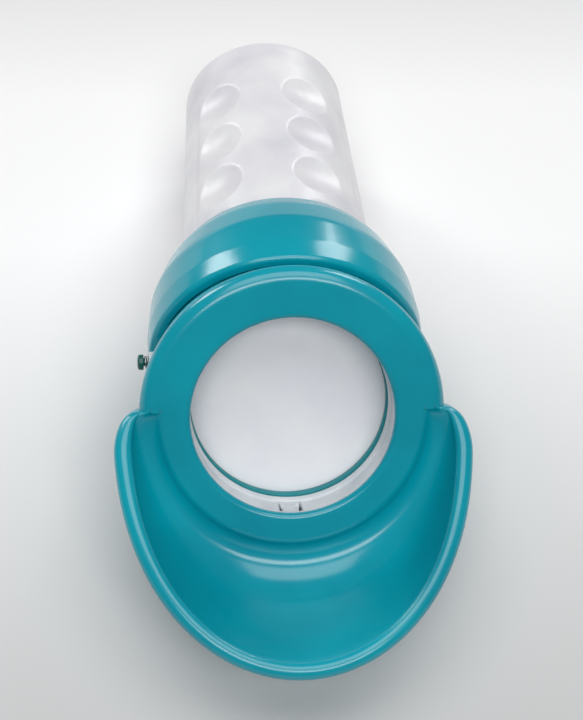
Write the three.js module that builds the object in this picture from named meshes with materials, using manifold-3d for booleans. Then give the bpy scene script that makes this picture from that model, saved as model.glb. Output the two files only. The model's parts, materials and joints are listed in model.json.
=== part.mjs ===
// Hand-held squeeze bulb with a scoop mouthpiece, in millimetres, +Z up.
// The object lies on the flat foot under its elbow and on the far edge of the squeeze body.
// Two axes cross at the centre of the elbow: the tube axis, which the squeeze body and the
// collar follow, and the mouth axis, which the scoop, the liner and the inlet valve follow.

import * as THREE from 'three';
import { mergeVertices } from 'three/addons/utils/BufferGeometryUtils.js';
import Module from 'manifold-3d';

const wasm = await Module();
wasm.setup();

// Layout of the two axes
const mouthTilt = 30; // degrees between the mouth axis and the tube axis
const restTilt = 9.15; // degrees that the tube axis tips down towards its far end
const mouthReach = 7; // elbow centre to the plane of the mouth

// Scoop head
const holeRadius = 22;
const ringRadius = 33;
const ringBack = 2;
const skirtRadius = 31.95; // the skirt behind the ring covers the elbow's stub
const skirtBore = 30.2;
const skirtEnd = -0.9;
const valleyDepth = 1.4; // from the ring's face to the valley before the bowl
const shoulderDrop = 2.1; // where the bowl fades out, its floor stays this far over the rim's centre
const lipBack = 5.3;
const neckBore = 24.9;
const neckRadius = 27.2;
const neckEnd = -7.2;
const bowlRoot = 29.5; // where the bowl leaves the ring
const bowlSide = 38.6; // rim radius at the sides
const bowlDrop = 9.1; // how much further the rim reaches at the bottom
const bowlRoundness = 1.8; // lower gives a squarer lower rim
const bowlWall = 2.5;
const rimRadius = 1.75;
const rimSlope = 0.6; // forward rise of the rim for each millimetre down
const rimStart = 2; // rim height over the mouth plane at mid height

// Elbow
const ballRadius = 32;
const ballHollow = 29.6;
const ballFront = -1.2;
const stubRadius = 29.9;
const stubFront = 1.7;
const stubBore = 27.5;
const stubBoreEnd = -7.6;
const spigotRadius = 27.6;
const spigotBore = 24.8;
const spigotEnd = 24.2;
const footBottom = -35.65; // below the elbow centre, in the resting attitude
const footWidth = 28;
const footCorner = 6;
const footFront = -15;
const footBack = 8;

// Inlet valve
const linerRadius = 24.6;
const linerBore = 22.2;
const discRadius = 22.9;
const discFront = -7.4;
const discBack = -9.4;
const stemRadius = 1.6;
const bossFront = -17.5;
const bossBack = -21.5;

// Squeeze body
const bodyStart = 26.2;
const bodyEnd = 106.4;
const bodyTaper = 0.0464;
const bodyWall = 1.6;
const bodyFloor = 2;
const flangeRadius = 26.8;
const flangeBack = 28.8;
const dimpleRows = [39, 54.5, 70, 85.5];
const dimpleColumns = 6;
const dimpleRadius = 6.5;
const dimpleDepth = 2;

// Vent on the left side of the elbow
const ventAlong = 12.6;
const ventUp = 2.1;
const ventOuter = 33.1;

const teal = 0x018ea3;
const darkTeal = 0x02788c;
const frosted = 0xe6e6ea;
const discWhite = 0xd9d8de;
const ventGreen = 0x0b5a55;
const sealGrey = 0x3f4a4d;
const steel = 0xb9bcc0;

const degrees = THREE.MathUtils.degToRad;

// Radius of the squeeze body's outside at a distance along the tube axis
function bodyRadius(along) {
  return 24.28 - bodyTaper * along;
}

// Shared vertices, no collapsed triangles, faces pointing out
function tidy(geometry) {
  const bare = new THREE.BufferGeometry();
  bare.setAttribute('position', geometry.getAttribute('position').clone());
  bare.setIndex(geometry.getIndex() ? geometry.getIndex().clone() : null);
  const merged = mergeVertices(bare, 1e-4);
  const corner = merged.getIndex().array;
  const position = merged.getAttribute('position');
  const kept = [];
  let volume = 0;
  const a = new THREE.Vector3();
  const b = new THREE.Vector3();
  const c = new THREE.Vector3();
  for (let i = 0; i < corner.length; i += 3) {
    const [p, q, r] = [corner[i], corner[i + 1], corner[i + 2]];
    if (p === q || q === r || r === p) continue;
    kept.push(p, q, r);
    a.fromBufferAttribute(position, p);
    b.fromBufferAttribute(position, q);
    c.fromBufferAttribute(position, r);
    volume += a.dot(b.cross(c));
  }
  if (volume < 0) kept.reverse();
  merged.setIndex(kept);
  return merged;
}

function toSolid(geometry) {
  const closed = tidy(geometry);
  return new wasm.Manifold(new wasm.Mesh({
    numProp: 3,
    vertProperties: new Float32Array(closed.getAttribute('position').array),
    triVerts: new Uint32Array(closed.getIndex().array),
  }));
}

function toGeometry(solid) {
  const mesh = solid.getMesh();
  const geometry = new THREE.BufferGeometry();
  geometry.setAttribute('position', new THREE.BufferAttribute(new Float32Array(mesh.vertProperties), 3));
  geometry.setIndex(new THREE.BufferAttribute(new Uint32Array(mesh.triVerts), 1));
  return geometry;
}

// A solid of revolution about Z from [radius, height] pairs, closed on itself or on the axis
function turned(profile, segments = 36) {
  const points = profile.map(([radius, height]) => new THREE.Vector2(radius, height));
  const onAxis = profile[0][0] === 0 && profile[profile.length - 1][0] === 0;
  if (!onAxis) points.push(points[0].clone());
  return tidy(new THREE.LatheGeometry(points, segments).rotateX(Math.PI / 2));
}

function rod(radius, low, high, segments = 16) {
  return turned([[0, low], [radius, low], [radius, high], [0, high]], segments);
}

function tubeRing(bore, radius, low, high, segments = 36) {
  return turned([[bore, low], [radius, low], [radius, high], [bore, high]], segments);
}

// A round-section ring, such as an O-ring
function roundRing(radius, section, height, segments = 30) {
  const profile = [];
  for (let i = 0; i < 6; i += 1) {
    const angle = (i / 6) * 2 * Math.PI;
    profile.push([radius + section * Math.cos(angle), height + section * Math.sin(angle)]);
  }
  return turned(profile, segments);
}

// Points of an arc in [radius, height]
function arc(centreRadius, centreHeight, radius, from, to, steps) {
  const points = [];
  for (let i = 0; i <= steps; i += 1) {
    const angle = degrees(from + ((to - from) * i) / steps);
    points.push([centreRadius + radius * Math.cos(angle), centreHeight + radius * Math.sin(angle)]);
  }
  return points;
}

class Coil extends THREE.Curve {
  constructor(radius, low, high, turns) {
    super();
    this.radius = radius;
    this.low = low;
    this.high = high;
    this.turns = turns;
  }

  getPoint(t, target = new THREE.Vector3()) {
    const angle = t * this.turns * 2 * Math.PI;
    const height = this.low + (this.high - this.low) * t;
    return target.set(this.radius * Math.cos(angle), this.radius * Math.sin(angle), height);
  }
}

function coilSpring(radius, wire, low, high, turns) {
  const section = new THREE.Shape();
  for (let i = 0; i < 5; i += 1) {
    const angle = (i / 5) * 2 * Math.PI;
    const x = wire * Math.cos(angle);
    const y = wire * Math.sin(angle);
    if (i === 0) section.moveTo(x, y);
    else section.lineTo(x, y);
  }
  section.closePath();
  const path = new Coil(radius, low, high, turns);
  return tidy(new THREE.ExtrudeGeometry(section, { steps: Math.round(turns * 8), extrudePath: path }));
}

// Turns a geometry made about Z onto the tube axis, which is +Y here
function alongTube(geometry) {
  return geometry.rotateX(-Math.PI / 2);
}

// Turns a geometry made about the mouth axis into the frame of the tube
function alongMouth(geometry) {
  return geometry.rotateX(degrees(90 - mouthTilt));
}

function named(name, geometry, color, roughness, metalness = 0) {
  const material = new THREE.MeshStandardMaterial({ color, roughness, metalness });
  const mesh = new THREE.Mesh(geometry, material);
  mesh.name = name;
  return mesh;
}

// Rim of the bowl at an angle round the mouth: 0 at the right side, 90 at the bottom
function bowlRim(angle) {
  const down = Math.max(0, Math.sin(degrees(angle)));
  const fromShoulder = Math.min(angle, 180 - angle) + 3;
  const open = Math.min(1, fromShoulder / 13);
  const shoulder = Math.sqrt(1 - (1 - open) ** 2);
  const full = bowlSide + bowlDrop * down ** bowlRoundness;
  const radius = ringRadius - 0.6 + (full - ringRadius + 0.6) * shoulder;
  const height = mouthReach - 3 + (rimStart + 3 + rimSlope * full * down) * shoulder;
  return [radius, height - rimRadius];
}

// Cross-section of the bowl at one angle: inner wall up, round the rim, outer wall down
function bowlSection(angle) {
  const [radius, height] = bowlRim(angle);
  const rootHeight = Math.min(mouthReach - valleyDepth, height + shoulderDrop);
  const innerRadius = radius - 2 * rimRadius;
  const outerRadius = radius - 0.7;
  const points = [];
  const steps = 6;
  for (let i = 0; i <= steps; i += 1) {
    const swing = degrees((90 * i) / steps);
    points.push([
      bowlRoot + (Math.max(innerRadius, bowlRoot + 0.3) - bowlRoot) * Math.sin(swing),
      rootHeight + (height - rootHeight) * (1 - Math.cos(swing)),
    ]);
  }
  for (let i = 1; i < 5; i += 1) {
    const swing = degrees(180 - 45 * i);
    points.push([radius - rimRadius + rimRadius * Math.cos(swing), height + rimRadius * Math.sin(swing)]);
  }
  for (let i = steps - 1; i >= 0; i -= 1) {
    const swing = degrees((90 * i) / steps);
    points.push([
      bowlRoot + (outerRadius - bowlRoot) * Math.sin(swing),
      rootHeight - bowlWall + 0.2 + (height - rimRadius - rootHeight + bowlWall) * (1 - Math.cos(swing)),
    ]);
  }
  return points;
}

// The open scoop wall, swept round the lower half of the ring
function bowl() {
  const position = [];
  const index = [];
  const stations = 30;
  for (let i = 0; i <= stations; i += 1) {
    const angle = -3 + (186 * i) / stations;
    for (const [radius, height] of bowlSection(angle)) {
      position.push(radius * Math.cos(degrees(angle)), -radius * Math.sin(degrees(angle)), height);
    }
  }
  const count = bowlSection(90).length;
  for (let i = 0; i < stations; i += 1) {
    for (let j = 0; j < count; j += 1) {
      const a = i * count + j;
      const b = i * count + ((j + 1) % count);
      index.push(a, b, a + count, b, b + count, a + count);
    }
  }
  for (const end of [0, stations]) {
    const outline = bowlSection(-3 + (186 * end) / stations).map(([x, y]) => new THREE.Vector2(x, y));
    for (const face of THREE.ShapeUtils.triangulateShape(outline, [])) {
      const clockwise = THREE.ShapeUtils.area(face.map((corner) => outline[corner])) < 0;
      const corners = face.map((corner) => end * count + corner);
      if (clockwise === (end === 0)) corners.reverse();
      index.push(...corners);
    }
  }
  const geometry = new THREE.BufferGeometry();
  geometry.setAttribute('position', new THREE.Float32BufferAttribute(position, 3));
  geometry.setIndex(index);
  return geometry;
}

// Ring, neck and scoop in one moulding, with a pocket for the latch's nose
function scoopHead() {
  const ring = turned([
    [holeRadius, lipBack],
    [holeRadius, mouthReach - 1.3],
    [holeRadius + 0.4, mouthReach - 0.4],
    [holeRadius + 1.3, mouthReach],
    ...arc(ringRadius - 3, mouthReach - 3, 3, 90, 0, 4),
    [ringRadius - 0.1, mouthReach - 3.8],
    [skirtRadius, mouthReach - 5.8],
    ...arc(skirtRadius - 0.7, skirtEnd + 0.7, 0.7, 0, -90, 2),
    [skirtBore, skirtEnd],
    [skirtBore, ringBack],
    [neckRadius, ringBack],
    [neckRadius, neckEnd],
    [neckBore, neckEnd],
    [neckBore, lipBack],
  ], 40);
  const pocket = new THREE.BoxGeometry(5.2, 2.6, 2.6).translate(0, -(neckBore - 0.3), -0.4);
  return toGeometry(toSolid(ring).add(toSolid(bowl())).subtract(toSolid(pocket)));
}

// Rounded block under the elbow with a level sole, in the resting attitude
function flatFoot() {
  const chamfer = 0.8;
  const x = footWidth / 2 - chamfer;
  const near = footFront + chamfer;
  const far = footBack - chamfer;
  const outline = new THREE.Shape();
  outline.absarc(x - footCorner, far - footCorner, footCorner, 0, Math.PI / 2);
  outline.absarc(footCorner - x, far - footCorner, footCorner, Math.PI / 2, Math.PI);
  outline.absarc(footCorner - x, near + footCorner, footCorner, Math.PI, 1.5 * Math.PI);
  outline.absarc(x - footCorner, near + footCorner, footCorner, 1.5 * Math.PI, 2 * Math.PI);
  return new THREE.ExtrudeGeometry(outline, {
    depth: 10,
    curveSegments: 4,
    bevelSize: chamfer,
    bevelThickness: chamfer,
    bevelSegments: 1,
  }).translate(0, 0, footBottom + chamfer);
}

// Ball-shaped elbow: stub round the mouth axis, threaded spigot round the tube axis, flat foot
function elbowHousing() {
  const outside = [[0, -ballRadius]];
  const frontAngle = THREE.MathUtils.radToDeg(Math.asin(ballFront / ballRadius));
  outside.push(...arc(0, 0, ballRadius, -90, frontAngle, 8).slice(1));
  outside.push([stubRadius, ballFront], [stubRadius, stubFront], [0, stubFront]);
  const inside = [[0, -ballHollow]];
  const stepAngle = THREE.MathUtils.radToDeg(Math.asin(stubBoreEnd / ballHollow));
  inside.push(...arc(0, 0, ballHollow, -90, stepAngle, 7).slice(1));
  inside.push([stubBore, stubBoreEnd], [stubBore, stubFront + 1], [0, stubFront + 1]);

  const ball = toSolid(alongMouth(turned(outside, 40)));
  const hollow = toSolid(alongMouth(turned(inside, 36)));
  const sealGroove = toSolid(alongMouth(tubeRing(stubBore - 0.5, 29.25, -4.3, -2.1, 40)));
  const frontGroove = toSolid(alongMouth(tubeRing(stubRadius, 50, ballFront, mouthReach + 5, 40)));
  const spigot = toSolid(alongTube(rod(spigotRadius, 14, spigotEnd, 40)));
  const tubeBore = toSolid(alongTube(turned([
    [0, 6],
    [spigotBore, 6],
    [spigotBore, spigotEnd],
    [ballRadius, spigotEnd],
    [ballRadius, ballRadius + 1],
    [0, ballRadius + 1],
  ], 40)));
  const foot = flatFoot().rotateX(degrees(restTilt));
  const ventHole = rod(2.5, -36, -20, 20).rotateY(Math.PI / 2).translate(0, ventAlong, ventUp);
  let solid = ball.add(spigot).add(toSolid(foot));
  for (const cut of [hollow, tubeBore, sealGroove, frontGroove, toSolid(ventHole)]) {
    solid = solid.subtract(cut);
  }
  return toGeometry(solid);
}

// Pale liner of the mouth with a groove and a bead, and a window for its latch
function mouthLiner() {
  const ring = turned([
    [linerBore + 0.5, 5],
    [linerBore, 4.5],
    [linerBore, -1.5],
    [22.9, -1.7],
    [22.9, -2.2],
    [22, -2.6],
    [21.8, -3.6],
    [22, -4.6],
    [22.4, -4.9],
    [linerRadius, -4.9],
    [linerRadius, 5],
  ], 40);
  const opening = new THREE.BoxGeometry(5, 4, 6.4).translate(0, -(linerBore + 1.2), 1);
  return toGeometry(toSolid(ring).subtract(toSolid(opening)));
}

// Catch in the liner's window: a ridged pad with a finger slot and a nose outside
function linerLatch() {
  const outline = new THREE.Shape();
  outline.moveTo(-2.2, -2.9);
  outline.lineTo(2.2, -2.9);
  outline.lineTo(1.7, 2.9);
  outline.lineTo(-1.7, 2.9);
  outline.closePath();
  const pad = new THREE.ExtrudeGeometry(outline, { depth: 1.9, bevelEnabled: false });
  const solid = toSolid(pad.rotateX(Math.PI / 2).translate(0, 0.95, 0));
  const nose = new THREE.BoxGeometry(4, 1.4, 1.4).translate(0, -1.2, -1.4);
  let latch = solid.add(toSolid(nose));
  const slot = new THREE.BoxGeometry(1.9, 1, 0.8).translate(0, 0.9, -2);
  latch = latch.subtract(toSolid(slot));
  for (const height of [-0.4, 0.6, 1.6]) {
    const groove = new THREE.BoxGeometry(6, 0.5, 0.35).translate(0, 1.05, height);
    latch = latch.subtract(toSolid(groove));
  }
  return toGeometry(latch);
}

// Cage behind the mouth: a ring, three posts with sloping arms, and a boss for the valve stem
function valveSpider() {
  let cage = toSolid(tubeRing(23.6, 25.6, -9.3, -7.5));
  cage = cage.add(toSolid(rod(5.4, bossBack, bossFront, 20)));
  for (const azimuth of [90, 210, 330]) {
    const post = new THREE.BoxGeometry(1.3, 3.4, 6.2);
    post.translate(24.35, 0, -11.7).rotateZ(degrees(azimuth));
    const arm = new THREE.BoxGeometry(21, 3.4, 1.8);
    arm.rotateY(-degrees(13)).translate(14.4, 0, -16.2).rotateZ(degrees(azimuth));
    cage = cage.add(toSolid(post)).add(toSolid(arm));
  }
  const ventRoom = rod(2, -30, -20).rotateY(Math.PI / 2).translate(0, ventAlong, ventUp);
  ventRoom.rotateX(-degrees(90 - mouthTilt));
  cage = cage.subtract(toSolid(ventRoom));
  return toGeometry(cage.subtract(toSolid(rod(stemRadius + 0.3, bossBack - 1, bossFront + 1))));
}

// Flat inlet disc with a socket for its stem
function inletDisc() {
  return turned([
    [0, discFront],
    [discRadius - 0.4, discFront],
    [discRadius, discFront - 0.4],
    [discRadius, discBack + 0.4],
    [discRadius - 0.4, discBack],
    [3.4, discBack],
    [3.4, discBack - 3],
    [1.9, discBack - 3],
    [1.9, discBack - 0.3],
    [0, discBack - 0.3],
  ], 40);
}

// Stem with a groove for its clip, behind the cage's boss
function valveStem() {
  return turned([
    [0, -25.2],
    [stemRadius - 0.3, -25.2],
    [stemRadius, -24.9],
    [stemRadius, -22.9],
    [1, -22.9],
    [1, -21.8],
    [stemRadius, -21.8],
    [stemRadius, -10],
    [0, -10],
  ], 16);
}

// Open retaining clip that snaps into the stem's groove
function stemClip() {
  const ring = toSolid(tubeRing(1.3, 3.6, -0.3, 0.3, 24));
  const mouth = new THREE.BoxGeometry(2.4, 4, 2).translate(0, 2.6, 0);
  return toGeometry(ring.subtract(toSolid(mouth)));
}

// Frosted squeeze body: closed at its far end, flanged at its mouth, with rows of finger dimples
function squeezeBody() {
  const endRadius = bodyRadius(bodyEnd);
  const outside = turned([
    [0, bodyStart],
    [flangeRadius, bodyStart],
    [flangeRadius, flangeBack],
    [bodyRadius(flangeBack), flangeBack],
    ...arc(endRadius - 2.5, bodyEnd - 2.5, 2.5, 0, 90, 3),
    [0, bodyEnd],
  ], 40);
  const innerEnd = bodyEnd - bodyFloor;
  const inside = turned([
    [0, bodyStart - 1],
    [bodyRadius(bodyStart) - bodyWall, bodyStart - 1],
    [bodyRadius(innerEnd) - bodyWall, innerEnd - 1.5],
    [bodyRadius(innerEnd) - bodyWall - 1.5, innerEnd],
    [0, innerEnd],
  ], 40);
  let shell = toSolid(outside);
  let hollow = toSolid(inside);
  const sphereRadius = (dimpleRadius ** 2 + dimpleDepth ** 2) / (2 * dimpleDepth);
  for (const along of dimpleRows) {
    for (let i = 0; i < dimpleColumns; i += 1) {
      const azimuth = ((i + 0.5) / dimpleColumns) * 360 + 90;
      const centre = bodyRadius(along) - dimpleDepth + sphereRadius;
      const cutter = new THREE.SphereGeometry(sphereRadius, 14, 10);
      cutter.translate(centre, 0, along).rotateZ(degrees(azimuth));
      shell = shell.subtract(toSolid(cutter));
      const bulge = new THREE.SphereGeometry(sphereRadius + bodyWall, 12, 8);
      bulge.translate(centre, 0, along).rotateZ(degrees(azimuth));
      hollow = hollow.subtract(toSolid(bulge));
    }
  }
  return alongTube(toGeometry(shell.subtract(hollow)));
}

// Dome-shaped collar that screws on the spigot and draws the body's flange in
function retainingCollar() {
  return alongTube(turned([
    [28, 17],
    [28.2, 15.6],
    [28.6, 15.2],
    ...arc(28.95, 16.9, 1.7, -90, 0, 3),
    [30.7, 20.5],
    [30.6, 24.5],
    [30, 29],
    [28.8, 33.2],
    [27.3, 36.8],
    [25.9, 39.5],
    [24.6, 41.2],
    [23.5, 42],
    [22.75, 41.8],
    [22.75, 41],
    [23.4, 39.4],
    [24.7, 37],
    [26.3, 34.4],
    [27, 32.4],
    [24, 32.4],
    [24, 30.4],
    [28, 30.4],
  ], 40));
}

// Bush through the elbow's left wall, with a seat for the button's spring
function ventBush() {
  return turned([
    [1.2, -26.2],
    [2.3, -26.2],
    [2.3, -30.4],
    [2.1, -30.6],
    [1.65, -30.6],
    [1.65, -28],
    [1.2, -28],
  ], 20).rotateY(Math.PI / 2);
}

function ventButton() {
  return turned([
    [0, -24.6],
    [0.9, -24.6],
    [0.9, -31.7],
    [1.7, -31.7],
    [1.7, -ventOuter + 0.4],
    [1.3, -ventOuter],
    [0, -ventOuter],
  ], 16).rotateY(Math.PI / 2);
}

function ventPoppet() {
  return tubeRing(1, 1.6, -25.9, -24.9, 16).rotateY(Math.PI / 2);
}

// Pieces on the mouth axis
const mouth = new THREE.Group();
mouth.rotation.x = degrees(90 - mouthTilt);
mouth.add(named('scoop_head', scoopHead(), teal, 0.22));
mouth.add(named('head_seal', roundRing(28.25, 0.72, -3.2), sealGrey, 0.6));
mouth.add(named('mouth_liner', mouthLiner(), frosted, 0.4));
const latch = named('liner_latch', linerLatch(), frosted, 0.4);
latch.position.set(0, -23.4, 1);
mouth.add(latch);
mouth.add(named('inlet_gasket', tubeRing(21.9, linerRadius, -7.1, -5.2, 40), darkTeal, 0.5));
mouth.add(named('inlet_disc', inletDisc(), discWhite, 0.35));
mouth.add(named('valve_stem', valveStem(), frosted, 0.4));
const clip = named('stem_clip', stemClip(), steel, 0.3, 1);
clip.position.z = -22.35;
mouth.add(clip);
mouth.add(named('spring_seat', tubeRing(3.9, 6, -10.3, -9.7, 20), steel, 0.3, 1));
mouth.add(named('valve_spring', coilSpring(4.9, 0.4, -17, -10.9, 4), steel, 0.3, 1));
mouth.add(named('valve_spider', valveSpider(), frosted, 0.45));

// Pieces on the tube axis and in the elbow's wall
const tube = new THREE.Group();
tube.rotation.x = degrees(-restTilt);
tube.add(mouth);
tube.add(named('elbow_housing', elbowHousing(), teal, 0.22));
tube.add(named('squeeze_body', squeezeBody(), frosted, 0.45));
tube.add(named('body_seal', alongTube(tubeRing(24.9, 27, 24.5, 25.9)), sealGrey, 0.6));
tube.add(named('retaining_collar', retainingCollar(), teal, 0.22));
tube.add(named('slip_washer', alongTube(tubeRing(24.4, 27.6, 29.1, 30.1)), frosted, 0.3));
const vent = new THREE.Group();
vent.position.set(0, ventAlong, ventUp);
vent.add(named('vent_bush', ventBush(), frosted, 0.4));
vent.add(named('vent_button', ventButton(), ventGreen, 0.35));
vent.add(named('vent_poppet', ventPoppet(), sealGrey, 0.6));
vent.add(named('vent_spring', coilSpring(1.28, 0.18, -31.4, -28.3, 4).rotateY(Math.PI / 2), steel, 0.3, 1));
tube.add(vent);

// Stand the object on its lowest points, centred over the origin
const group = new THREE.Group();
group.add(tube);
const box = new THREE.Box3().setFromObject(group, true);
group.position.set(0, -(box.min.y + box.max.y) / 2, -box.min.z);

export default group;
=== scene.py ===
import json
from math import atan2, cos, hypot, pi, radians, sin, sqrt

import bmesh
import bpy
from mathutils import Matrix, Vector


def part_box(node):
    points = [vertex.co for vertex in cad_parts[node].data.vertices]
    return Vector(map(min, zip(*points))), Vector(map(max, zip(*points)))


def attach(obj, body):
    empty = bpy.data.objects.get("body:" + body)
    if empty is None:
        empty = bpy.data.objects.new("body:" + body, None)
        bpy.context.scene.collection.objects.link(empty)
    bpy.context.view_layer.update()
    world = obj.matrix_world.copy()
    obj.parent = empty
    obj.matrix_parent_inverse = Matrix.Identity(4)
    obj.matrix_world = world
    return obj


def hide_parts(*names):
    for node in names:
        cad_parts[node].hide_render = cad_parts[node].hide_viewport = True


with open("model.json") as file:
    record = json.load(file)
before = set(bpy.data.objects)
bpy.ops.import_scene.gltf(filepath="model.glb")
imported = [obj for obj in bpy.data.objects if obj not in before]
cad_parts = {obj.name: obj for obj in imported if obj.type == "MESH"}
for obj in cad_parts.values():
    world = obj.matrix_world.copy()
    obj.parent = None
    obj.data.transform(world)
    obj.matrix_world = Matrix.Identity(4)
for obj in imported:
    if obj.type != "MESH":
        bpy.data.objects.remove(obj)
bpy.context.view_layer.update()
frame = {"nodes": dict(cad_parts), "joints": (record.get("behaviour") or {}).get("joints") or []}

mm = 0.001
joints = {joint["name"]: joint for joint in frame["joints"]}
elbowCentre = Vector(joints["collar_turn"]["pos_m"])
tubeAxis = Vector(joints["collar_turn"]["axis"]).normalized()
mouthAxis = -Vector(joints["inlet_open"]["axis"]).normalized()


def axisFrame(axis):  # local Z runs along the axis, local X stays level
    side = Vector((1, 0, 0))
    turn = Matrix((side, axis.cross(side), axis)).transposed().to_4x4()
    return Matrix.Translation(elbowCentre) @ turn @ Matrix.Scale(mm, 4)


tubePlace = axisFrame(tubeAxis)
mouthPlace = axisFrame(mouthAxis)
ventAt = (0, -2.1, 12.6)  # millimetres from the elbow's centre, in the tube's frame
ventPlace = tubePlace @ Matrix.Translation(ventAt) @ Matrix.Rotation(-pi / 2, 4, "Y")  # local Z points out


# ---- shape helpers, all in millimetres

def rounded(corners, closed=True, steps=6):  # (radius, height, fillet) corners to a smooth outline
    points = []
    count = len(corners)
    for i, (r, z, fillet) in enumerate(corners):
        if fillet <= 0 or (not closed and i in (0, count - 1)):
            points.append((r, z))
            continue
        here = Vector((r, z))
        before = Vector(corners[i - 1][:2]) - here
        after = Vector(corners[(i + 1) % count][:2]) - here
        turn = before.angle(after)
        tangent = abs(sin(turn / 2) / cos(turn / 2))
        reach = min(fillet / max(0.05, tangent), before.length * 0.49, after.length * 0.49)
        start = here + before.normalized() * reach
        end = here + after.normalized() * reach
        for k in range(steps + 1):
            t = k / steps
            points.append(tuple(start * (1 - t) ** 2 + here * 2 * t * (1 - t) + end * t ** 2))
    return points


def turned(outline, closed=True, segments=144):  # solid of revolution about Z
    vertices, rings = [], []
    for r, z in outline:
        if r < 1e-6:
            rings.append([len(vertices)])
            vertices.append((0, 0, z))
        else:
            rings.append(list(range(len(vertices), len(vertices) + segments)))
            turns = [2 * pi * k / segments for k in range(segments)]
            vertices += [(r * cos(a), r * sin(a), z) for a in turns]
    faces = []
    pairs = list(zip(rings, rings[1:] + rings[:1])) if closed else list(zip(rings, rings[1:]))
    for low, high in pairs:
        for k in range(segments):
            n = (k + 1) % segments
            if len(low) == 1 and len(high) == 1:
                continue
            if len(low) == 1:
                faces.append((low[0], high[n], high[k]))
            elif len(high) == 1:
                faces.append((low[k], low[n], high[0]))
            else:
                faces.append((low[k], low[n], high[n], high[k]))
    return vertices, faces


def swept(sections, ring=False):  # joins equal sections; the ends are capped unless it is a ring
    vertices = [point for section in sections for point in section]
    count = len(sections[0])
    faces = []
    for i in range(len(sections) if ring else len(sections) - 1):
        here, there = i * count, ((i + 1) % len(sections)) * count
        for k in range(count):
            n = (k + 1) % count
            faces.append((here + k, here + n, there + n, there + k))
    if not ring:
        faces.append(tuple(range(count - 1, -1, -1)))
        faces.append(tuple(range(len(vertices) - count, len(vertices))))
    return vertices, faces


def block(size, centre):  # rectangular cutter or pad
    vertices = [Vector(centre) + Vector((x * size[0], y * size[1], z * size[2])) / 2
                for x in (-1, 1) for y in (-1, 1) for z in (-1, 1)]
    faces = [(0, 1, 3, 2), (4, 6, 7, 5), (0, 4, 5, 1), (2, 3, 7, 6), (0, 2, 6, 4), (1, 5, 7, 3)]
    return vertices, faces


def makePiece(name, shape, place, smoothAngle=35):
    vertices, faces = shape
    mesh = bpy.data.meshes.new(name)
    mesh.from_pydata([tuple(place @ Vector(v)) for v in vertices], [], faces)
    build = bmesh.new()
    build.from_mesh(mesh)
    bmesh.ops.remove_doubles(build, verts=build.verts, dist=1e-7)
    bmesh.ops.recalc_face_normals(build, faces=build.faces)
    build.to_mesh(mesh)
    build.free()
    mesh.polygons.foreach_set("use_smooth", [True] * len(mesh.polygons))
    mesh.set_sharp_from_angle(angle=radians(smoothAngle))
    piece = bpy.data.objects.new(name, mesh)
    bpy.context.scene.collection.objects.link(piece)
    return piece


def applyModifiers(piece):
    graph = bpy.context.evaluated_depsgraph_get()
    shaped = bpy.data.meshes.new_from_object(piece.evaluated_get(graph))
    piece.modifiers.clear()
    old = piece.data
    piece.data = shaped
    shaped.name = piece.name
    bpy.data.meshes.remove(old)
    return piece


def combine(piece, other, operation):
    change = piece.modifiers.new(operation.lower(), "BOOLEAN")
    change.operation = operation
    change.solver = "EXACT"
    change.object = other
    applyModifiers(piece)
    bpy.data.objects.remove(other)
    return piece


def cut(piece, shape, place):
    return combine(piece, makePiece("cutter", shape, place), "DIFFERENCE")


def join(piece, shape, place):
    return combine(piece, makePiece("added", shape, place), "UNION")


def remould(piece, voxel, smoothing):  # one even skin whose inside corners flow as moulded plastic does
    remesh = piece.modifiers.new("remesh", "REMESH")
    remesh.mode = "VOXEL"
    remesh.voxel_size = voxel * mm
    smooth = piece.modifiers.new("smooth", "SMOOTH")
    smooth.factor = 0.5
    smooth.iterations = smoothing
    applyModifiers(piece)
    piece.data.polygons.foreach_set("use_smooth", [True] * len(piece.data.polygons))
    return piece


def fit(piece, body, slot, material, *nodes):
    piece.data.materials.clear()
    piece.data.materials.append(material)
    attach(piece, body)
    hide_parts(*nodes)
    return piece


# ---- finishes

def linearise(hexColour):
    values = [int(hexColour[i:i + 2], 16) / 255 for i in (1, 3, 5)]
    linear = [v / 12.92 if v <= 0.04045 else ((v + 0.055) / 1.055) ** 2.4 for v in values]
    return (*linear, 1)


def addNode(tree, kind, settings=None, **links):
    node = tree.nodes.new(kind)
    for key, value in (settings or {}).items():
        if key == "stops":  # a ramp's positions, each with its tone
            elements = node.color_ramp.elements
            while len(elements) < len(value):
                elements.new(0.5)
            for element, (position, tone) in zip(elements, value):
                element.position = position
                element.color = linearise(tone)
        else:
            node.inputs[key].default_value = value
    for key, source in links.items():
        tree.links.new(source, node.inputs[key])
    return node


def startMaterial(name, shaderSettings):
    material = bpy.data.materials.new(name)
    material.use_nodes = True
    tree = material.node_tree
    tree.nodes.clear()
    shader = addNode(tree, "ShaderNodeBsdfPrincipled", shaderSettings)
    output = addNode(tree, "ShaderNodeOutputMaterial")
    tree.links.new(shader.outputs[0], output.inputs["Surface"])
    place = addNode(tree, "ShaderNodeTexCoord").outputs["Object"]
    return material, tree, shader, place


def perMetre(sizeMm):  # texture scale that gives features of about this size
    return 1 / (sizeMm * mm)


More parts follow.
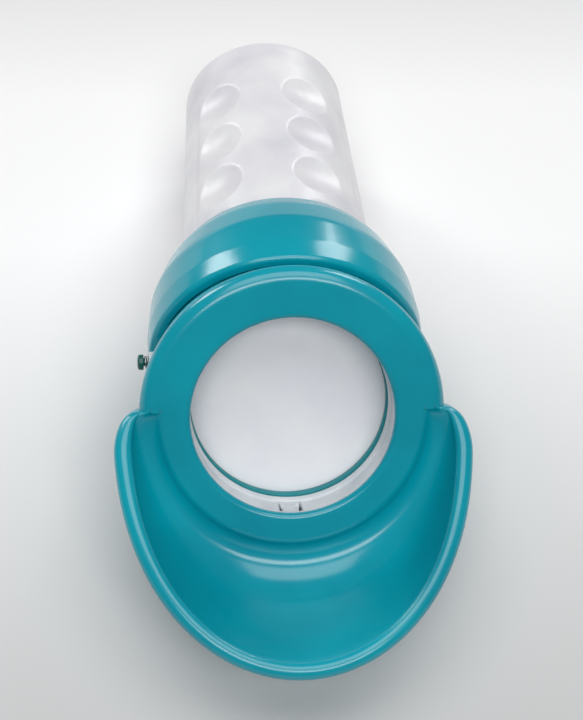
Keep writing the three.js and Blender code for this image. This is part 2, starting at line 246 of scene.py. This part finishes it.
def mouldedPlastic(name, tones, settings, peel, cloudMm=26, roughness=(0.16, 0.24)):
    wipeMm, peelMm, depthMm = 7, 1.1, 0.05  # handling marks, orange peel and its depth
    material, tree, shader, place = startMaterial(name, settings)
    cloud = addNode(tree, "ShaderNodeTexNoise", {"Scale": perMetre(cloudMm), "Detail": 2.0},
                    Vector=place)
    tone = addNode(tree, "ShaderNodeValToRGB", {"stops": ((0.3, tones[0]), (0.7, tones[1]))},
                   Fac=cloud.outputs["Fac"])
    tree.links.new(tone.outputs["Color"], shader.inputs["Base Color"])
    wipe = addNode(tree, "ShaderNodeTexNoise",
                   {"Scale": perMetre(wipeMm), "Detail": 5.0, "Roughness": 0.6}, Vector=place)
    spread = addNode(tree, "ShaderNodeMapRange",
                     {"From Min": 0.3, "From Max": 0.7, "To Min": roughness[0], "To Max": roughness[1]},
                     Value=wipe.outputs["Fac"])
    tree.links.new(spread.outputs["Result"], shader.inputs["Roughness"])
    skin = addNode(tree, "ShaderNodeTexNoise", {"Scale": perMetre(peelMm), "Detail": 3.0}, Vector=place)
    bump = addNode(tree, "ShaderNodeBump", {"Strength": peel, "Distance": depthMm * mm},
                   Height=skin.outputs["Fac"])
    tree.links.new(bump.outputs["Normal"], shader.inputs["Normal"])
    return material


# gloss teal ABS, injection moulded and polished: deep even colour, sharp light reflections,
# faint orange peel
tealAbs = mouldedPlastic("gloss teal ABS", ("#008fa2", "#00a0b2"),
                         {"IOR": 1.53, "Coat Weight": 0.1, "Coat Roughness": 0.06}, peel=0.06)
# teal silicone, compression moulded: same hue, soft satin sheen
tealSilicone = mouldedPlastic("satin teal silicone", ("#0a7c86", "#1b8d93"), {"IOR": 1.41},
                              cloudMm=9, roughness=(0.42, 0.55), peel=0.05)
# natural polypropylene, moulded in a matt tool: milky, a little light goes through thin edges
milkyPolypropylene = mouldedPlastic("milky polypropylene", ("#c6cdd2", "#dbe0e3"),
                                    {"IOR": 1.49, "Subsurface Weight": 0.35,
                                     "Subsurface Radius": (0.002, 0.002, 0.002),
                                     "Subsurface Scale": 1.0},
                                    cloudMm=8, roughness=(0.3, 0.42), peel=0.05)
# dark green nylon, moulded: small hard button with a satin face
greenNylon = mouldedPlastic("satin green nylon", ("#084c48", "#0c615b"), {"IOR": 1.53},
                            cloudMm=3, roughness=(0.3, 0.4), peel=0.05)
# dark nitrile rubber, moulded: dull, slightly dusty grey
greyNitrile = mouldedPlastic("dull grey nitrile", ("#343d40", "#444e51"), {"IOR": 1.5},
                             cloudMm=5, roughness=(0.55, 0.7), peel=0.08)


def frostedBodyPlastic():
    # frosted LDPE, blow moulded: near white and cloudy, with soft highlights
    material, tree, shader, place = startMaterial("frosted LDPE", {
        "IOR": 1.51, "Subsurface Weight": 0.4, "Subsurface Radius": (0.004, 0.004, 0.0045),
        "Subsurface Scale": 1.0, "Coat Weight": 0.2, "Coat Roughness": 0.25})
    cloudMm, flowMm, grainMm, depthMm = 16, 1.6, 0.8, 0.05
    cloud = addNode(tree, "ShaderNodeTexNoise", {"Scale": perMetre(cloudMm), "Detail": 4.0}, Vector=place)
    tone = addNode(tree, "ShaderNodeValToRGB", {"stops": ((0.32, "#d6d5de"), (0.68, "#ececef"))},
                   Fac=cloud.outputs["Fac"])
    tree.links.new(tone.outputs["Color"], shader.inputs["Base Color"])
    # flow lines run along the body
    stretch = addNode(tree, "ShaderNodeMapping", {"Scale": (1, 0.12, 1)}, Vector=place)
    flow = addNode(tree, "ShaderNodeTexNoise", {"Scale": perMetre(flowMm), "Detail": 3.0},
                   Vector=stretch.outputs["Vector"])
    rough = addNode(tree, "ShaderNodeMapRange",
                    {"From Min": 0.3, "From Max": 0.7, "To Min": 0.3, "To Max": 0.44},
                    Value=flow.outputs["Fac"])
    tree.links.new(rough.outputs["Result"], shader.inputs["Roughness"])
    grain = addNode(tree, "ShaderNodeTexNoise", {"Scale": perMetre(grainMm), "Detail": 2.0}, Vector=place)
    fine = addNode(tree, "ShaderNodeBump", {"Strength": 0.05, "Distance": depthMm * mm},
                   Height=grain.outputs["Fac"])
    tree.links.new(fine.outputs["Normal"], shader.inputs["Normal"])
    return material


def scuffedDiscPlastic():
    # acetal disc, turned and frosted: pale grey, flat sheen, with fine slanting scuffs
    material, tree, shader, place = startMaterial("frosted acetal", {
        "IOR": 1.48, "Subsurface Weight": 0.15, "Subsurface Radius": (0.001, 0.001, 0.001),
        "Subsurface Scale": 1.0})
    cloudMm, scuffMm, depthMm, scuffSlant = 18, 0.7, 0.05, 38
    cloud = addNode(tree, "ShaderNodeTexNoise",
                    {"Scale": perMetre(cloudMm), "Detail": 5.0, "Roughness": 0.55}, Vector=place)
    tone = addNode(tree, "ShaderNodeValToRGB", {"stops": ((0.3, "#f1eff6"), (0.72, "#fcfcfd"))},
                   Fac=cloud.outputs["Fac"])
    tree.links.new(tone.outputs["Color"], shader.inputs["Base Color"])
    slant = addNode(tree, "ShaderNodeMapping",
                    {"Rotation": (0, 0, radians(scuffSlant)), "Scale": (1, 0.05, 1)}, Vector=place)
    scuff = addNode(tree, "ShaderNodeTexNoise", {"Scale": perMetre(scuffMm), "Detail": 3.0},
                    Vector=slant.outputs["Vector"])
    rough = addNode(tree, "ShaderNodeMapRange",
                    {"From Min": 0.35, "From Max": 0.65, "To Min": 0.34, "To Max": 0.52},
                    Value=scuff.outputs["Fac"])
    tree.links.new(rough.outputs["Result"], shader.inputs["Roughness"])
    bump = addNode(tree, "ShaderNodeBump", {"Strength": 0.16, "Distance": depthMm * mm},
                   Height=scuff.outputs["Fac"])
    tree.links.new(bump.outputs["Normal"], shader.inputs["Normal"])
    return material


def drawnSteel():
    # stainless spring wire, drawn: bright metal, unevenly dulled by the die
    material, tree, shader, place = startMaterial("drawn stainless steel", {"Metallic": 1.0})
    markMm = 0.5
    mark = addNode(tree, "ShaderNodeTexNoise", {"Scale": perMetre(markMm), "Detail": 3.0}, Vector=place)
    tone = addNode(tree, "ShaderNodeValToRGB", {"stops": ((0.3, "#a9adb2"), (0.7, "#cfd2d5"))},
                   Fac=mark.outputs["Fac"])
    tree.links.new(tone.outputs["Color"], shader.inputs["Base Color"])
    rough = addNode(tree, "ShaderNodeMapRange", {"To Min": 0.2, "To Max": 0.36},
                    Value=mark.outputs["Fac"])
    tree.links.new(rough.outputs["Result"], shader.inputs["Roughness"])
    return material


frostedLdpe = frostedBodyPlastic()
frostedAcetal = scuffedDiscPlastic()
stainless = drawnSteel()
print("finishes ready")


# ---- scoop head: ring, mouth and scoop in one moulding

scoop = {
    "ringRadius": 33.0, "face": 7.0, "edge": 3.0, "skirtRadius": 31.95, "skirtEnd": -0.9, "valley": 5.6,
    "side": 38.58, "drop": 9.1, "roundness": 1.8, "rim": 1.95, "slope": 0.6, "shoulder": 13.0,
    "lipEdge": 27.6,  # where the flat lip ends and the ring's face begins
    "bore": [(24.9, -7.2), (24.9, -3), (24.9, 1), (24.9, 4.9), (24.5, 5.3), (22.5, 5.3), (22.1, 5.4),
             (22.0, 5.6)],
    "lipTop": [(24.4, 7.0), (26.0, 7.0), (27.1, 7.0)],
    "neck": [(30.2, 1.8), (30.0, 2.0), (27.5, 2.0), (27.2, 1.7), (27.2, -3), (27.2, -6.7), (26.8, -7.2)],
    "latchPocket": (5.2, 2.6, 2.6), "latchPocketAt": (0, -24.6, -0.4),
}


def ringEdge(share):  # point along the ring's plain outer edge
    edge, radius, face = scoop["edge"], scoop["ringRadius"], scoop["face"]
    flat, curve, side = radius - edge - scoop["lipEdge"], edge * pi / 2, 1.4
    path = share * (flat + curve + side)
    if path < flat:
        return scoop["lipEdge"] + path, face
    if path < flat + curve:
        a = pi / 2 - (path - flat) / edge
        return radius - edge + edge * cos(a), face - edge + edge * sin(a)
    down = path - flat - curve
    return radius - 0.3 * down, face - edge - down


def bowlWall(angle):  # soft ring edge, valley, inner wall, rim and outer wall of the open scoop
    low = max(0.0, sin(radians(angle)))
    reach = scoop["side"] + scoop["drop"] * low ** scoop["roundness"]
    rim, valley = scoop["rim"], scoop["valley"]
    top = scoop["face"] + 2 + scoop["slope"] * reach * low - rim
    bends = [radians(45 * k / 7) for k in range(8)]
    points = [(scoop["lipEdge"] + 2 * sin(bend), 5 + 2 * cos(bend)) for bend in bends]
    for k in range(1, 6):
        t = k / 6
        points.append((29.01 * (1 - t) ** 2 + 29.82 * 2 * t * (1 - t) + 31.9 * t * t,
                       6.41 * (1 - t) ** 2 + valley * (1 - (1 - t) ** 2)))
    inner = reach - 2 * rim
    for k in range(17):
        v = radians(90 * k / 17)
        points.append((31.9 + (inner - 31.9) * sin(v), valley + (top - valley) * (1 - cos(v))))
    for k in range(11):
        a = radians(180 - 18 * k)
        points.append((reach - rim + rim * cos(a), top + rim * sin(a)))
    for k in range(1, 16):
        v = radians(90 - 90 * k / 16)
        points.append((32.6 + (reach - 0.6 - 32.6) * sin(v), 2.6 + (top - rim - 2.6) * (1 - cos(v))))
    points.append((32.58, 2.6))
    return points


def scoopStation(angle, opened):
    wall = bowlWall(angle)
    last = len(wall) - 1
    outline = list(scoop["bore"])
    bends = [radians(15 * k) for k in range(7)]
    outline += [(23.2 - 1.2 * cos(bend), 5.8 + 1.2 * sin(bend)) for bend in bends]
    outline += scoop["lipTop"]
    for k, (r, z) in enumerate(wall):
        plainR, plainZ = ringEdge(k / last)
        outline.append((plainR + (r - plainR) * opened, plainZ + (z - plainZ) * opened))
    skirt, end = scoop["skirtRadius"], scoop["skirtEnd"]
    outline += [(skirt + 0.05, 1.2), (skirt, end + 0.5), (skirt - 0.15, end + 0.12),
                (skirt - 0.5, end), (30.4, end), (30.2, end + 0.2)]
    outline += scoop["neck"]
    return [(r * cos(radians(angle)), -r * sin(radians(angle)), z) for r, z in outline]


def buildScoopHead():
    stations = []
    for k in range(15):  # right shoulder
        t = radians(90 * k / 14)
        stations.append((-3 + scoop["shoulder"] * (1 - cos(t)), sin(t)))
    for k in range(1, 64):
        stations.append((10 + 160 * k / 64, 1.0))
    stations += [(180 - angle, opened) for angle, opened in reversed(stations[:15])]
    for k in range(1, 58):
        stations.append((183 + 174 * k / 58, 0.0))
    shape = swept([scoopStation(angle, opened) for angle, opened in stations], ring=True)
    head = makePiece("scoopHead", shape, mouthPlace, 60)
    cut(head, block(scoop["latchPocket"], scoop["latchPocketAt"]), mouthPlace)
    return fit(head, "head", "teal_plastic", tealAbs, "scoop_head")


buildScoopHead()
print("scoop head ready")


# ---- elbow: ball, stub, spigot and foot

elbow = {"ball": 32.0, "hollow": 29.6, "ballFront": -1.2, "stub": 29.9, "stubFront": 1.7, "stubBore": 27.5,
         "hollowFront": -7.6, "spigot": 27.6, "spigotBore": 24.8, "spigotStart": 14, "spigotEnd": 24.2,
         "ventHole": 2.5, "footFront": 15, "footBack": 8, "footHalf": 14.0, "footCorner": 6.0,
         "footHeight": 9.5, "voxel": 0.42, "smoothing": 3}


def ballOutline(radius, top, segments=40):
    start = -pi / 2
    stop = atan2(top, sqrt(radius ** 2 - top ** 2))
    angles = [start + (stop - start) * k / segments for k in range(segments + 1)]
    outline = [(radius * cos(angle), radius * sin(angle)) for angle in angles]
    outline[0] = (0.0, outline[0][1])
    return outline


def footShape():
    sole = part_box("elbow_housing")[0].z / mm
    centre = elbowCentre / mm
    front, back = centre.y - elbow["footFront"], centre.y + elbow["footBack"]
    half, corner = elbow["footHalf"], elbow["footCorner"]
    sections = []
    for z, inset in ((0, 1.2), (0.15, 0.6), (0.6, 0.15), (1.2, 0.0), (elbow["footHeight"], 0.0)):
        ring = []
        for cx, cy, start in ((half - corner, back - corner, 0), (corner - half, back - corner, 90),
                              (corner - half, front + corner, 180), (half - corner, front + corner, 270)):
            for k in range(13):
                a = radians(start + 7.5 * k)
                reach = corner - inset
                ring.append((cx + reach * cos(a), cy + reach * sin(a), sole + z))
        sections.append(ring)
    return swept(sections)


def buildElbow():
    # cutters stay off the planes of what they cut: when two shared one, the remesh lost the whole shell
    tip, bore = elbow["spigotEnd"], elbow["spigotBore"]
    outside = ballOutline(elbow["ball"], elbow["ballFront"])
    outside += [(elbow["stub"], elbow["ballFront"]), (elbow["stub"], elbow["stubFront"]),
                (0, elbow["stubFront"])]
    housing = makePiece("elbowHousing", turned(outside, closed=False), mouthPlace)
    start, radius = elbow["spigotStart"], elbow["spigot"]
    spigot = [(0, start), (radius, start), (radius, tip - 0.4), (radius - 0.4, tip), (0, tip)]
    join(housing, turned(spigot, closed=False), tubePlace)
    join(housing, footShape(), Matrix.Scale(mm, 4))
    inside = ballOutline(elbow["hollow"], elbow["hollowFront"])
    inside += [(elbow["stubBore"], elbow["hollowFront"]), (elbow["stubBore"], 3.0), (0, 3.0)]
    cut(housing, turned(inside, closed=False), mouthPlace)
    cut(housing, turned([(0, 6), (bore, 6), (bore, 36), (0, 36)], closed=False), tubePlace)
    cut(housing, turned([(29.95, -1.15), (50, -1.15), (50, 12), (29.95, 12)]), mouthPlace)
    hole = [(0, 20), (elbow["ventHole"], 20), (elbow["ventHole"], 36), (0, 36)]
    cut(housing, turned(hole, closed=False, segments=48), ventPlace)
    remould(housing, elbow["voxel"], elbow["smoothing"])
    return fit(housing, "head", "teal_plastic", tealAbs, "elbow_housing")


buildElbow()
print("elbow ready")


# ---- collar

collarDome = {  # (radius, along, fillet) corners: over the dome, then back along the inside
    "outside": [(28.2, 15.25, 0.4), (30.57, 15.25, 1.8), (30.72, 21.0, 6), (30.0, 29.2, 10), (27.4, 36.6, 8),
                (24.6, 41.3, 3), (23.6, 42.0, 0.6)],
    "inside": [(22.75, 42.0, 0.4), (22.75, 41.0, 0.3), (24.7, 37.0, 3), (26.6, 33.2, 2), (26.9, 32.4, 0.3),
               (24.0, 32.4, 0.3), (24.0, 30.4, 0.3), (28.0, 30.4, 0.4)],
}


def buildCollar():
    dome = rounded(collarDome["outside"] + collarDome["inside"], steps=10)
    collar = makePiece("retainingCollar", turned(dome, segments=192), tubePlace)
    return fit(collar, "collar", "teal_plastic", tealAbs, "retaining_collar")


buildCollar()
print("collar ready")


# ---- squeeze body with finger dimples

body = {"end": 106.36, "floor": 104.4, "mouthRadius": 24.235, "taper": 0.0464, "wall": 1.6, "edge": 2.5,
        "rows": (39.0, 54.5, 70.0, 85.5), "columns": (32, 148, 212, 328), "twist": 7,
        "dimple": 6.4, "depth": 1.4,
        "channels": (60, 300), "channelWidth": 1.6, "channelDepth": 0.35,
        "flange": [(26.4, 26.2), (26.8, 26.6), (26.8, 28.4), (26.5, 28.8)]}


def bodyRadius(along):
    return body["mouthRadius"] - body["taper"] * along


def dimpleDrop(along, azimuth, radius):  # how far the wall is pushed in at a point
    drop = 0.0
    for row in body["rows"]:
        for column in body["columns"]:
            turnAway = abs((azimuth - column + body["twist"] + 180) % 360 - 180)
            gap = hypot(along - row, radians(turnAway) * radius) / body["dimple"]
            if gap < 1.12:
                dish = max(0.0, 1 - gap * gap)
                lip = 0.06 * max(0.0, 1 - abs(gap - 1) / 0.12)
                drop = max(drop, body["depth"] * (dish - lip if gap > 0.9 else dish))
    for channel in body["channels"]:
        off = abs((azimuth - channel + 180) % 360 - 180)
        across = radians(off) * radius / body["channelWidth"]
        fade = min(1.0, max(0.0, (93 - along) / 5)) * min(1.0, max(0.0, (along - 31) / 3))
        if across < 1:
            drop = max(drop, body["channelDepth"] * fade * (1 - across ** 2) ** 2)
    return drop


def bodySkin(stops, segments, inward):  # rings of points, pushed in at the dimples
    rings = []
    for r, along in stops:
        ring = []
        for k in range(segments):
            azimuth = 360 * k / segments
            radius = r - (dimpleDrop(along, azimuth, r + inward) if 30 < along < 102 else 0)
            a = radians(azimuth - 90)
            ring.append((radius * cos(a), radius * sin(a), along))
        rings.append(ring)
    return rings


def buildSqueezeBody():
    segments = 288
    endRadius = bodyRadius(body["end"])
    outer = body["flange"] + [(bodyRadius(28.8) + 0.7, 28.8), (bodyRadius(29.3) + 0.15, 29.1)]
    along = 30.0
    while along < 103.6:
        outer.append((bodyRadius(along), along))
        along += 0.42
    edge, corner = body["edge"], body["end"] - body["edge"]
    bends = [radians(a) for a in range(0, 91, 10)]
    outer += [(endRadius - edge + edge * cos(bend), corner + edge * sin(bend)) for bend in bends]
    outer += [(endRadius * share, body["end"]) for share in (0.7, 0.5, 0.3, 0.1)]
    inner = [(bodyRadius(26.2) - body["wall"], 26.2)]
    along = 28.0
    while along < 103.0:
        inner.append((bodyRadius(along) - body["wall"], along))
        along += 0.8
    inner += [(17.0, body["floor"] - 0.5)] + [(r, body["floor"]) for r in (16.2, 12, 6, 2)]
    rings = list(reversed(bodySkin(inner, segments, body["wall"]))) + bodySkin(outer, segments, 0)
    vertices = [point for ring in rings for point in ring]
    faces = []
    for i in range(len(rings) - 1):
        for k in range(segments):
            n = (k + 1) % segments
            here, there = i * segments, (i + 1) * segments
            faces.append((here + k, here + n, there + n, there + k))
    for start, height in ((0, body["floor"]), ((len(rings) - 1) * segments, body["end"])):
        vertices.append((0, 0, height))
        for k in range(segments):
            faces.append((start + k, start + (k + 1) % segments, len(vertices) - 1))
    squeeze = makePiece("squeezeBody", (vertices, faces), tubePlace, 50)
    return fit(squeeze, "grip", "frosted_plastic", frostedLdpe, "squeeze_body")


buildSqueezeBody()
print("squeeze body ready")


# ---- mouth liner, latch, gasket and disc

# (radius, along, fillet) corners about the mouth's axis
liner = {
    "outline": [(22.7, 5.0, 0.3), (22.25, 4.6, 0.3), (22.25, -0.9, 0.1), (23.1, -1.2, 0.1),
                (23.1, -1.95, 0.1), (22.1, -2.3, 0.3), (21.75, -3.5, 0.8), (22.1, -4.7, 0.3),
                (22.3, -4.9, 0.1), (24.6, -4.9, 0.2), (24.6, 5.0, 0.3)],
    "window": (5, 4, 6.4), "windowAt": (0, -23.4, 1),  # where the latch sits
}
gasketOutline = [(21.6, -7.1, 0.2), (24.6, -7.1, 0.2), (24.6, -5.2, 0.2), (21.6, -5.2, 0.4)]
discOutline = [(0, -7.4, 0), (22.9, -7.4, 0.45), (22.9, -9.4, 0.45), (3.4, -9.4, 0.3), (3.4, -12.4, 0.3),
               (1.9, -12.4, 0.1), (1.9, -9.7, 0), (0, -9.7, 0)]


def buildMouth():
    ring = makePiece("mouthLiner", turned(rounded(liner["outline"]), segments=192), mouthPlace)
    cut(ring, block(liner["window"], liner["windowAt"]), mouthPlace)
    fit(ring, "head", "frosted_plastic", milkyPolypropylene, "mouth_liner")
    gasket = makePiece("inletGasket", turned(rounded(gasketOutline), segments=192), mouthPlace)
    fit(gasket, "head", "gasket_rubber", tealSilicone, "inlet_gasket")
    edge = rounded(discOutline, closed=False)
    disc = makePiece("inletDisc", turned(edge, closed=False, segments=192), mouthPlace)
    fit(disc, "inlet_valve", "disc_plastic", frostedAcetal, "inlet_disc")


latch = {
    "half": 2.9, "low": 2.2, "high": 1.7,
    "layers": ((-0.95, 0.25), (-0.85, 0.08), (-0.7, 0), (0.7, 0), (0.85, 0.08), (0.95, 0.25)),
    "nose": (4, 1.4, 1.4), "noseAt": (0, -1.2, -1.4), "notch": (1.9, 1.0, 0.8), "notchAt": (0, 0.9, -2.0),
    "groove": (6, 0.5, 0.3), "grooves": (-0.6, 0.1, 0.8, 1.5, 2.2),
}


def buildLatch():
    place = mouthPlace @ Matrix.Translation(liner["windowAt"])
    sections = []
    for y, inset in latch["layers"]:
        low, high, half = latch["low"] - inset, latch["high"] - inset, latch["half"]
        sections.append([(-low, y, -half + inset), (low, y, -half + inset),
                         (high, y, half - inset), (-high, y, half - inset)])
    tab = makePiece("linerLatch", swept(sections), place, 30)
    join(tab, block(latch["nose"], latch["noseAt"]), place)
    cut(tab, block(latch["notch"], latch["notchAt"]), place)
    for height in latch["grooves"]:
        cut(tab, block(latch["groove"], (0, 1.0, height)), place)
    fit(tab, "latch", "frosted_plastic", milkyPolypropylene, "liner_latch")


buildMouth()
buildLatch()
print("mouth ready")


# ---- valve works, vent and seals

def coilWire(radius, wire, low, high, turns, stepsPerTurn=36, sides=12):
    sections = []
    total = int(turns * stepsPerTurn)
    for i in range(total + 1):
        share = i / total
        ease = share - 0.06 * sin(2 * pi * share)  # end coils lie closer together
        a = 2 * pi * turns * share
        z = low + (high - low) * ease
        ring = []
        for k in range(sides):
            b = 2 * pi * k / sides
            r = radius + wire * cos(b)
            ring.append((r * cos(a), r * sin(a), z + wire * sin(b)))
        sections.append(ring)
    return swept(sections)


valveSpring = {"radius": 4.9, "wire": 0.42, "low": -17.0, "high": -10.9, "turns": 4.5}
ventSpring = {"radius": 1.28, "wire": 0.17, "low": 28.3, "high": 31.4, "turns": 5}


def buildSprings():
    spring = makePiece("valveSpring", coilWire(**valveSpring), mouthPlace)
    fit(spring, "head", "spring_steel", stainless, "valve_spring")
    small = makePiece("ventSpring", coilWire(**ventSpring), ventPlace)
    fit(small, "head", "spring_steel", stainless, "vent_spring")


# (radius, along, fillet) corners about the vent's axis
ventLines = {
    "bush": [(1.2, 26.2, 0.1), (2.3, 26.2, 0.2), (2.3, 30.55, 0.35), (1.62, 30.55, 0.2), (1.62, 28.0, 0.1),
             (1.2, 28.0, 0.1)],
    "button": [(0, 24.6, 0), (0.9, 24.6, 0.2), (0.9, 31.7, 0.1), (1.7, 31.7, 0.2), (1.7, 32.9, 0.5),
               (0.9, 33.05, 0.6), (0, 33.08, 0)],
    "poppet": [(1.0, 24.9, 0.1), (1.6, 24.9, 0.3), (1.6, 25.9, 0.2), (1.0, 25.9, 0.1)],
}


def buildVent():
    bush = makePiece("ventBush", turned(rounded(ventLines["bush"]), segments=64), ventPlace)
    fit(bush, "head", "frosted_plastic", milkyPolypropylene, "vent_bush")
    cap = rounded(ventLines["button"], closed=False)
    button = makePiece("ventButton", turned(cap, closed=False, segments=64), ventPlace)
    fit(button, "vent", "vent_plastic", greenNylon, "vent_button")
    poppet = makePiece("ventPoppet", turned(rounded(ventLines["poppet"]), segments=48), ventPlace)
    fit(poppet, "vent", "seal_rubber", greyNitrile, "vent_poppet")


seals = {
    "headRadius": 28.25, "headAlong": -3.2, "headWire": 0.72,
    "body": [(24.9, 24.5, 0.2), (27.0, 24.5, 0.2), (27.0, 25.9, 0.2), (24.9, 25.9, 0.2)],
    "washer": [(24.4, 29.1, 0.15), (27.6, 29.1, 0.15), (27.6, 30.1, 0.15), (24.4, 30.1, 0.15)],
}


def buildSeals():
    wire = seals["headWire"]
    bends = [2 * pi * k / 24 for k in range(24)]
    ring = [(seals["headRadius"] + wire * cos(bend), seals["headAlong"] + wire * sin(bend)) for bend in bends]
    headSeal = makePiece("headSeal", turned(ring), mouthPlace)
    fit(headSeal, "head", "seal_rubber", greyNitrile, "head_seal")
    bodySeal = makePiece("bodySeal", turned(rounded(seals["body"])), tubePlace)
    fit(bodySeal, "grip", "seal_rubber", greyNitrile, "body_seal")
    washer = makePiece("slipWasher", turned(rounded(seals["washer"])), tubePlace)
    fit(washer, "collar", "frosted_plastic", milkyPolypropylene, "slip_washer")


def finishInnerWorks():  # sound CAD shapes that only need their real finish
    for node, material in (("valve_spider", milkyPolypropylene), ("valve_stem", milkyPolypropylene),
                           ("stem_clip", stainless), ("spring_seat", stainless)):
        piece = frame["nodes"][node]
        piece.data.materials.clear()
        piece.data.materials.append(material)


buildSprings()
buildVent()
buildSeals()
finishInnerWorks()
print("inner works ready")


# ---- studio

floorSheet = {
    "size": 3.0, "drop": 0.0004, "front": -0.16, "back": 0.20,
    # tones: painted light falloff along the floor's depth, darkest at the front, brightest in the middle
    "tones": ((0.2, "#cbcbcb"), (0.42, "#e2e2e2"), (0.58, "#f3f3f3"), (0.72, "#f1f1f1"), (0.84, "#dedede")),
}


def buildFloor():
    half = floorSheet["size"] / 2
    mesh = bpy.data.meshes.new("floor")
    corners = [(-half, -half, 0), (half, -half, 0), (half, half, 0), (-half, half, 0)]
    mesh.from_pydata(corners, [], [(0, 1, 2, 3)])
    floor = bpy.data.objects.new("floor", mesh)
    floor.location.z = -floorSheet["drop"]
    bpy.context.scene.collection.objects.link(floor)
    # matt paper, pale grey, with a painted light falloff: darker towards the front, a little darker at the
    # back, brightest in the middle
    material, tree, shader, place = startMaterial("matt paper with painted light falloff", {"IOR": 1.45, "Roughness": 0.85})
    split = addNode(tree, "ShaderNodeSeparateXYZ", Vector=place)
    depth = addNode(tree, "ShaderNodeMapRange",
                    {"From Min": floorSheet["front"], "From Max": floorSheet["back"]},
                    Value=split.outputs["Y"])
    tone = addNode(tree, "ShaderNodeValToRGB", {"stops": floorSheet["tones"]}, Fac=depth.outputs["Result"])
    tree.links.new(tone.outputs["Color"], shader.inputs["Base Color"])
    mesh.materials.append(material)


# metres and watts: where each light hangs, what it faces, its width and height
lights = {
    "top softbox": {"at": (0.0, 0.1, 1.4), "towards": (0, 0.02, 0), "size": (1.3, 0.9), "power": 10},
    "front softbox": {"at": (0.0, -1.0, 1.5), "towards": (0, -0.02, 0.03), "size": (1.3, 0.5), "power": 13},
    "back left softbox": {"at": (-0.75, 0.85, 0.50), "towards": (0, 0, 0.04), "size": (0.3, 0.45),
                          "power": 3.4},
    "back right softbox": {"at": (0.55, 0.90, 0.50), "towards": (0, 0, 0.04), "size": (0.3, 0.45),
                           "power": 2.6},
}
worldLight = {"tone": "#f4f5f7", "strength": 0.16}


def addLight(name, at, towards, size, power):
    light = bpy.data.lights.new(name, "AREA")
    light.shape = "RECTANGLE"
    light.size, light.size_y = size
    light.energy = power
    lamp = bpy.data.objects.new(name, light)
    lamp.location = at
    lamp.rotation_euler = (Vector(towards) - Vector(at)).to_track_quat("-Z", "Y").to_euler()
    bpy.context.scene.collection.objects.link(lamp)


def buildLights():
    for name, settings in lights.items():
        addLight(name, **settings)
    world = bpy.data.worlds.new("studio")
    bpy.context.scene.world = world
    world.use_nodes = True
    background = world.node_tree.nodes["Background"]
    background.inputs["Color"].default_value = linearise(worldLight["tone"])
    background.inputs["Strength"].default_value = worldLight["strength"]
    bpy.context.scene.view_settings.view_transform = "Standard"


view = {"at": (-0.03531, -0.26325, 0.39770), "towards": (-0.00023, -0.01985, 0.04729), "roll": 5.87,
        "lens": 100, "nearest": 0.01}


def buildCamera():
    camera = bpy.data.cameras.new("camera")
    camera.lens = view["lens"]
    camera.clip_start = view["nearest"]
    eye = bpy.data.objects.new("camera", camera)
    look = (Vector(view["towards"]) - Vector(view["at"])).to_track_quat("-Z", "Y").to_matrix()
    turn = look @ Matrix.Rotation(radians(view["roll"]), 3, "Z")
    eye.matrix_world = Matrix.Translation(view["at"]) @ turn.to_4x4()
    bpy.context.scene.collection.objects.link(eye)
    bpy.context.scene.camera = eye


buildFloor()
buildLights()
buildCamera()
print("studio ready")
